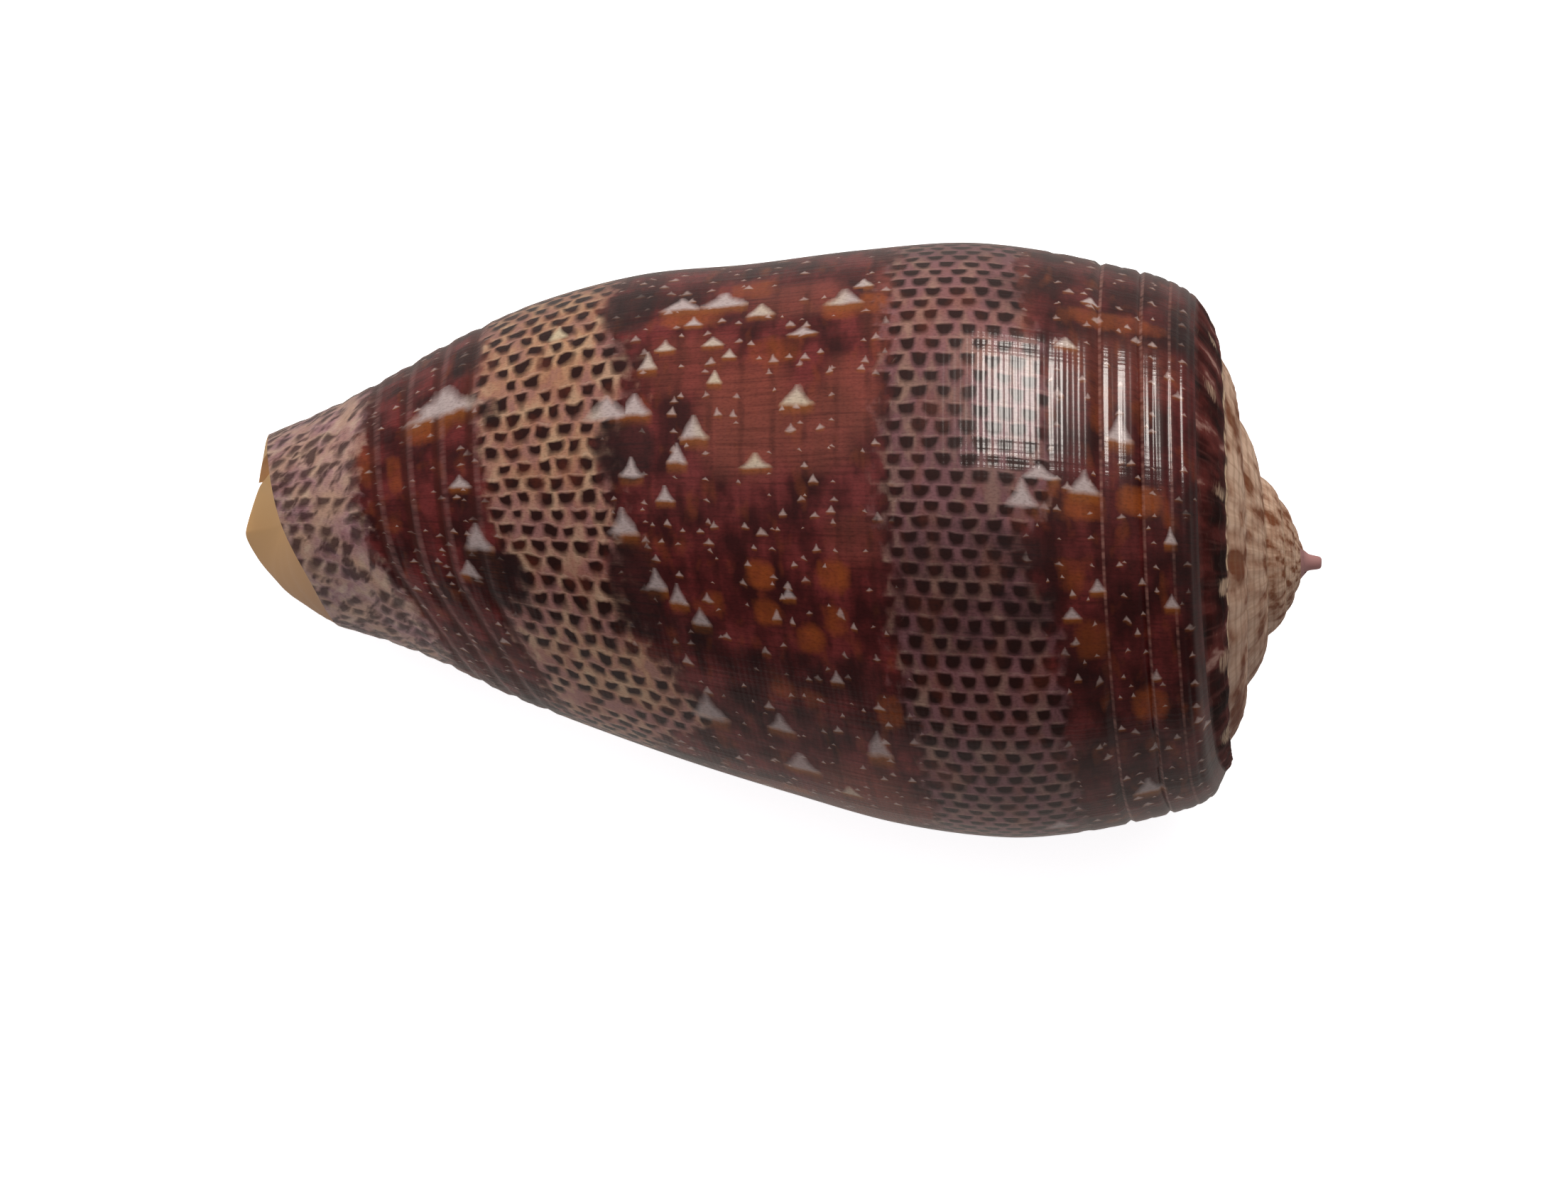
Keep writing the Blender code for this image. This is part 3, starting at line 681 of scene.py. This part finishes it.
# Maroon bands: soft columns, thin growth streaks, orange and lighter fields.
maroon = node("ValToRGB", field, stops=[(0.38, "381012"), (0.50, "561c1d"), (0.62, "742c2c")])
maroon = node("MixRGB", glow, maroon, "8c4638")
column = node("Math", coil_v, COLUMN_WAVE, operation="MULTIPLY")
column = node("MapRange", node("Math", column, operation="SINE"), 0.60, 1.0)
column = node("Math", column, node("MapRange", rough, -0.1, 0.15, 0.1, 0.5), operation="MULTIPLY")
maroon = node("MixRGB", column, maroon, "2c0e0c")
maroon = node("MixRGB", node("MapRange", band, 1.15, 0.75, 0.0, 0.35), maroon, "240b0a")
maroon = node("MixRGB", node("MapRange", streak, 0.46, 0.70, 0.0, 0.45), maroon, "34100e")
orange = node("Math", rough, 1.3, warm, operation="MULTIPLY_ADD")
orange = node("MapRange", orange, 0.15, 1.0, 0.0, 0.7)
patches = node("MapRange", noise(42.0, 34.0, 8.0, 2.0), 0.58, 0.76, 0.0, 0.35)
patches = node("Math", patches, orange, operation="MAXIMUM")
maroon = node("MixRGB", patches, maroon, "9c4c1c")

# Tents and specks over the maroon bands.
speck, speck_foot = tents(62, 0.0333, 3.0, 0.70, 0.75, (0.14, 0.34), 0.0, 0.3)
small, small_foot = tents(96, 0.0165, 7.0, 0.60, 0.20, (0.25, 0.80))
side = node("Math", tent_side, operation="ABSOLUTE")
side = node("Math", rough, 0.4, side, operation="MULTIPLY_ADD")
climb = node("Math", rough, 0.3, tent_climb, operation="MULTIPLY_ADD")
placed, placed_foot = tent_shape(side, climb)
foot = node("Math", small_foot, 0.6, operation="MULTIPLY")
foot = node("Math", foot, node("Math", placed_foot, 0.9, operation="MULTIPLY"), operation="MAXIMUM")
foot = node("Math", foot, node("Math", speck_foot, 0.4, operation="MULTIPLY"), operation="MAXIMUM")
maroon = node("MixRGB", foot, maroon, "8a4c1a")
pale = node("Math", speck, 0.60, operation="MULTIPLY")
pale = node("Math", pale, node("Math", small, 0.75, operation="MULTIPLY"), operation="MAXIMUM")
maroon = node("MixRGB", pale, maroon, "bca49e")

# Shield dots over the pale bands, closer at the shoulder, with slanted dashes at the end.
past_first = node("Math", band, 2.5, operation="GREATER_THAN")
at_end = node("Math", band, 4.5, operation="GREATER_THAN")
near_mark, near_rim = dots(110, 0.0256, 11.0, 0.42, 0.985, 0.35)
lower_mark, lower_rim = dots(80, 0.0232, 17.0, 0.80, 0.95, 0.36, 0.36)
end_mark, _ = dots(42, 0.0190, 29.0, 0.95, 0.62, 0.37, 0.45, END_MARK_SLANT)
end_mark = node("Math", end_mark, 0.85, operation="MULTIPLY")
dashes = noise(62.0, 30.0, 23.0, 2.5, END_MARK_SLANT)
end_mark = node("Math", node("MapRange", dashes, 0.52, 0.63, 0.0, 0.85), end_mark, operation="MAXIMUM")
mark = node("MixRGB", at_end, node("MixRGB", past_first, near_mark, lower_mark), end_mark)
rim = node("MixRGB", past_first, near_rim, lower_rim)
rim = node("MixRGB", at_end, rim, node("MapRange", dashes, 0.44, 0.34))
strength = node("Math", past_first, 0.15, 0.15, operation="MULTIPLY_ADD")
ground = node("MixRGB", node("Math", rim, strength, operation="MULTIPLY"), ground, "dcc4aa")
spot = node("MixRGB", node("MapRange", field, 0.52, 0.70), "2a0e0c", "4e1e12")
spot = node("MixRGB", at_end, spot, "3c2224")
body_colour = node("MixRGB", dotted, maroon, node("MixRGB", mark, ground, spot))

# Thin raised threads at the shoulder, and the anterior cords with darker grooves between them.
bead = node("MapRange", noise(3.0, 300.0, 51.0, 1.0), 0.35, 0.65, 0.2, 1.0)
for middle, strength in ((0.1005, 0.4), (0.0570, 0.4), (0.0270, 0.3)):
    thread = node("Math", coil_v, middle, operation="SUBTRACT")
    thread = node("Math", thread, operation="ABSOLUTE")
    thread = node("MapRange", thread, 0.0022, 0.0008, 0.0, strength)
    thread = node("Math", thread, bead, operation="MULTIPLY")
    body_colour = node("MixRGB", thread, body_colour, "b88478")
anterior = node("MapRange", cord, 0.74, 0.76)
anterior = node("Math", anterior, node("MapRange", cord, 0.90, 0.88), operation="MULTIPLY")
for middle, sharp, strength, broken, text in (
        (CORD_START, 0.55, 0.75, 1.0, "45150f"),
        (CORD_START - CORD_SPACING / 5, 0.72, 0.50, bead, "8c5c58")):
    beat = node("Math", cord, middle, operation="SUBTRACT")
    beat = node("Math", beat, 2 * math.pi / CORD_SPACING, operation="MULTIPLY")
    beat = node("MapRange", node("Math", beat, operation="COSINE"), sharp, 1.0, 0.0, strength)
    beat = node("Math", beat, broken, operation="MULTIPLY")
    beat = node("Math", beat, anterior, operation="MULTIPLY")
    body_colour = node("MixRGB", beat, body_colour, text)

# Blackish clouds, with the placed tents on top; the tents fade toward the side away from the window as
# painted shade.
# Painted shade: a mask that rises toward the side away from the window, used for the tents and the spire.
painted_shade_away_from_window = node("MapRange", node("SeparateXYZ", where, out=1), 0.002, -0.008, 0.0, 0.35)
cloud = node("MapRange", node("Math", rough, 0.9, dark, operation="MULTIPLY_ADD"), 0.25, 0.75)
cloud = node("Math", cloud, node("MapRange", streak, 0.35, 0.60, 0.85, 0.60), operation="MULTIPLY")
body_colour = node("MixRGB", cloud, body_colour, "231617")
# Painted shade: the placed tents are weakened where that mask is strong.
painted_shade_fade = node("Math", 1.0, painted_shade_away_from_window, operation="SUBTRACT")
tent_colour = node("MixRGB", glow, "bcaaa8", "ceba98")
body_colour = node("MixRGB", node("Math", placed, painted_shade_fade, operation="MULTIPLY"), body_colour, tent_colour)
grain = node("ValToRGB", noise(230.0, 900.0, 61.0, 1.0), stops=[
    (0.30, "9a9a9a"), (0.50, "f0f0f0"), (0.70, "ffffff")])
body_colour = node("MixRGB", 0.40, body_colour, grain, blend_type="MULTIPLY")

# Spire: cream with brown flames, wrinkled by growth, with painted shade that darkens it toward the side
# away from the window.
spire_colour = node("ValToRGB", noise(1.6, 30.0, 31.0, 4.0), stops=[
    (0.40, "d4b49c"), (0.52, "b48e76"), (0.60, "7a452a")])
spire_colour = node("MixRGB", node("MapRange", wrinkle, 0.45, 0.70, 0.0, 0.40), spire_colour, "946a4c")
ring = node("Math", node("Math", coil_v, RING_WAVE, operation="MULTIPLY"), operation="COSINE")
spire_colour = node("MixRGB", node("MapRange", ring, 0.2, 1.0, 0.0, 0.35), spire_colour, "86644c")
spire_colour = node("MixRGB", node("MapRange", coil_v, -0.90, -0.98, 0.0, 0.7), spire_colour, "d2b48e")
# Painted shade: the spire turns dark brown toward the side away from the window.
spire_colour = node("MixRGB", painted_shade_away_from_window, spire_colour, "70423a")

# Last ramp of the spire: dark, with cream blots and a beaded cream edge. The nub is mauve.
last_ramp = node("ValToRGB", noise(1.2, 44.0, 37.0, 5.0), stops=[
    (0.33, "a07a70"), (0.40, "602824"), (0.52, "3c1210"), (0.64, "1e0908")])
last_ramp = node("MixRGB", node("MapRange", wrinkle, 0.52, 0.68, 0.0, 0.3), last_ramp, "70403c")
blot = node("Math", rough, 2.2, glow, operation="MULTIPLY_ADD")
last_ramp = node("MixRGB", node("MapRange", blot, 0.35, 0.95), last_ramp, "c4a68c")
beads = node("MapRange", noise(1.0, 110.0, 35.0, 1.0), 0.40, 0.52, 0.25, 1.0)
beads = node("Math", node("MapRange", coil_v, -0.84, -0.94), beads, operation="MULTIPLY")
last_ramp = node("MixRGB", beads, last_ramp, "cdb092")
on_last_ramp = node("Math", coil_u, -1.0, operation="GREATER_THAN")
spire_colour = node("MixRGB", on_last_ramp, spire_colour, last_ramp)
on_nub = node("Math", coil_u, -6.3, operation="LESS_THAN")
spire_colour = node("MixRGB", on_nub, spire_colour, "a87c7a")

# The glaze thins out at the shoulder, and the spire is dull.
on_body = node("Math", coil_v, 0.0, operation="GREATER_THAN")
for name, value in {
    "Base Color": node("MixRGB", on_body, spire_colour, body_colour),
    "Roughness": node("MapRange", coil_v, -0.10, 0.02, 0.55, 0.17),
    "Specular IOR Level": node("MapRange", coil_v, -0.10, 0.02, 0.10, 0.50),
    "Coat Weight": node("Math", on_body, 0.3, operation="MULTIPLY"),
}.items():
    tree.links.new(value, shader.inputs[name])
shader.inputs["Coat Roughness"].default_value = 0.45

# Fine spiral threads and growth lines, felt only in the gloss.
threads = node("Math", node("Math", coil_v, THREAD_WAVE, operation="MULTIPLY"), operation="SINE")
height = node("Math", threads, 0.11, noise(5.0, 330.0, 41.0), operation="MULTIPLY_ADD")
height = node("Math", noise(110.0, 5.0, 43.0, 2.0), 0.8, height, operation="MULTIPLY_ADD")
bump = node("Bump", 0.35, 0.00006)
tree.links.new(height, bump.node.inputs["Height"])
tree.links.new(bump, shader.inputs["Normal"])

# Lining of the aperture and of the anterior end: plain smooth shell, cream and semi-matt, with painted
# shade that turns it darker brown toward the side away from the window.
inside = bpy.data.materials.new("shell_lining")
inside.use_nodes = True
tree = inside.node_tree
shader = tree.nodes["Principled BSDF"]
height = node("SeparateXYZ", node("TexCoord", out=3), out=1)
# Painted shade: cream on the window side, dark brown away from it.
lining_with_painted_shade = node("MixRGB", node("MapRange", height, 0.001, -0.006), "e4b478", "9a6a48")
tree.links.new(lining_with_painted_shade, shader.inputs["Base Color"])
shader.inputs["Roughness"].default_value = 0.35

mesh.materials.append(outside)
mesh.materials.append(inside)
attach(shell, "root")
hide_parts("shell")

# Floor, light and camera
# A sheet of matt white paper under the shell, a tall soft window beyond the lip side, soft light
# all round, and the camera above the shell as in the photograph.
bpy.ops.mesh.primitive_plane_add(size=4.0, location=(0, 0, 0))
floor = bpy.context.object
floor.name = "floor"
floor.visible_glossy = False
paper = bpy.data.materials.new("matt_paper")
paper.use_nodes = True
tree = paper.node_tree
shader = tree.nodes["Principled BSDF"]
shader.inputs["Base Color"].default_value = colour("f2f1ef")
shader.inputs["Roughness"].default_value = 0.9
shader.inputs["Emission Color"].default_value = colour("f4f4f6")
# The paper is white to the camera, and dimmer where it lights the shell.
seen = node("LightPath")
tree.links.new(node("MapRange", seen, 0.0, 1.0, 0.58, 0.95), shader.inputs["Emission Strength"])
floor.data.materials.append(paper)

# The world is dim overhead, brighter from below the horizon and toward the window.
world = bpy.data.worlds.new("studio")
world.use_nodes = True
tree = world.node_tree
background = tree.nodes["Background"]
background.inputs["Color"].default_value = colour("f8eee6")
direction = node("SeparateXYZ", node("TexCoord", out=0))
overhead = node("MapRange", direction.node.outputs[1], -0.6, 0.6, 0.06, 0.16)
strength = node("MapRange", direction.node.outputs[2], -0.15, 0.10, 0.27, overhead)
tree.links.new(strength, background.inputs["Strength"])
bpy.context.scene.world = world

window_data = bpy.data.lights.new("window", "AREA")
window_data.shape = "RECTANGLE"
window_data.color = (1.0, 0.94, 0.88)
window_data.size = 0.048
window_data.size_y = 0.29
window_data.energy = 0.80
window = bpy.data.objects.new("window", window_data)
window.location = (0.034, 0.255, 0.262)
highlight = Vector((0.0095, 0.0037, 0.0239))
window.rotation_euler = (highlight - window.location).to_track_quat("-Z", "Y").to_euler()
bpy.context.scene.collection.objects.link(window)

fill_data = bpy.data.lights.new("fill", "AREA")
fill_data.size = 0.40
fill_data.energy = 0.72
fill = bpy.data.objects.new("fill", fill_data)
fill.location = (-0.110, 0.080, 0.380)
middle = Vector((-0.005, 0.0, 0.012))
fill.rotation_euler = (middle - fill.location).to_track_quat("-Z", "Y").to_euler()
fill.visible_glossy = False
bpy.context.scene.collection.objects.link(fill)

camera_data = bpy.data.cameras.new("camera")
camera_data.lens = 98.563
camera_data.sensor_width = 36
camera_data.clip_start = 0.01
camera = bpy.data.objects.new("camera", camera_data)
camera.location = (-0.015479, -0.034452, 0.196363)
camera.rotation_euler = tuple(math.radians(v) for v in (9.3187, -5.3417, 2.9627))
bpy.context.scene.collection.objects.link(camera)
bpy.context.scene.camera = camera
bpy.context.scene.view_settings.view_transform = "Standard"
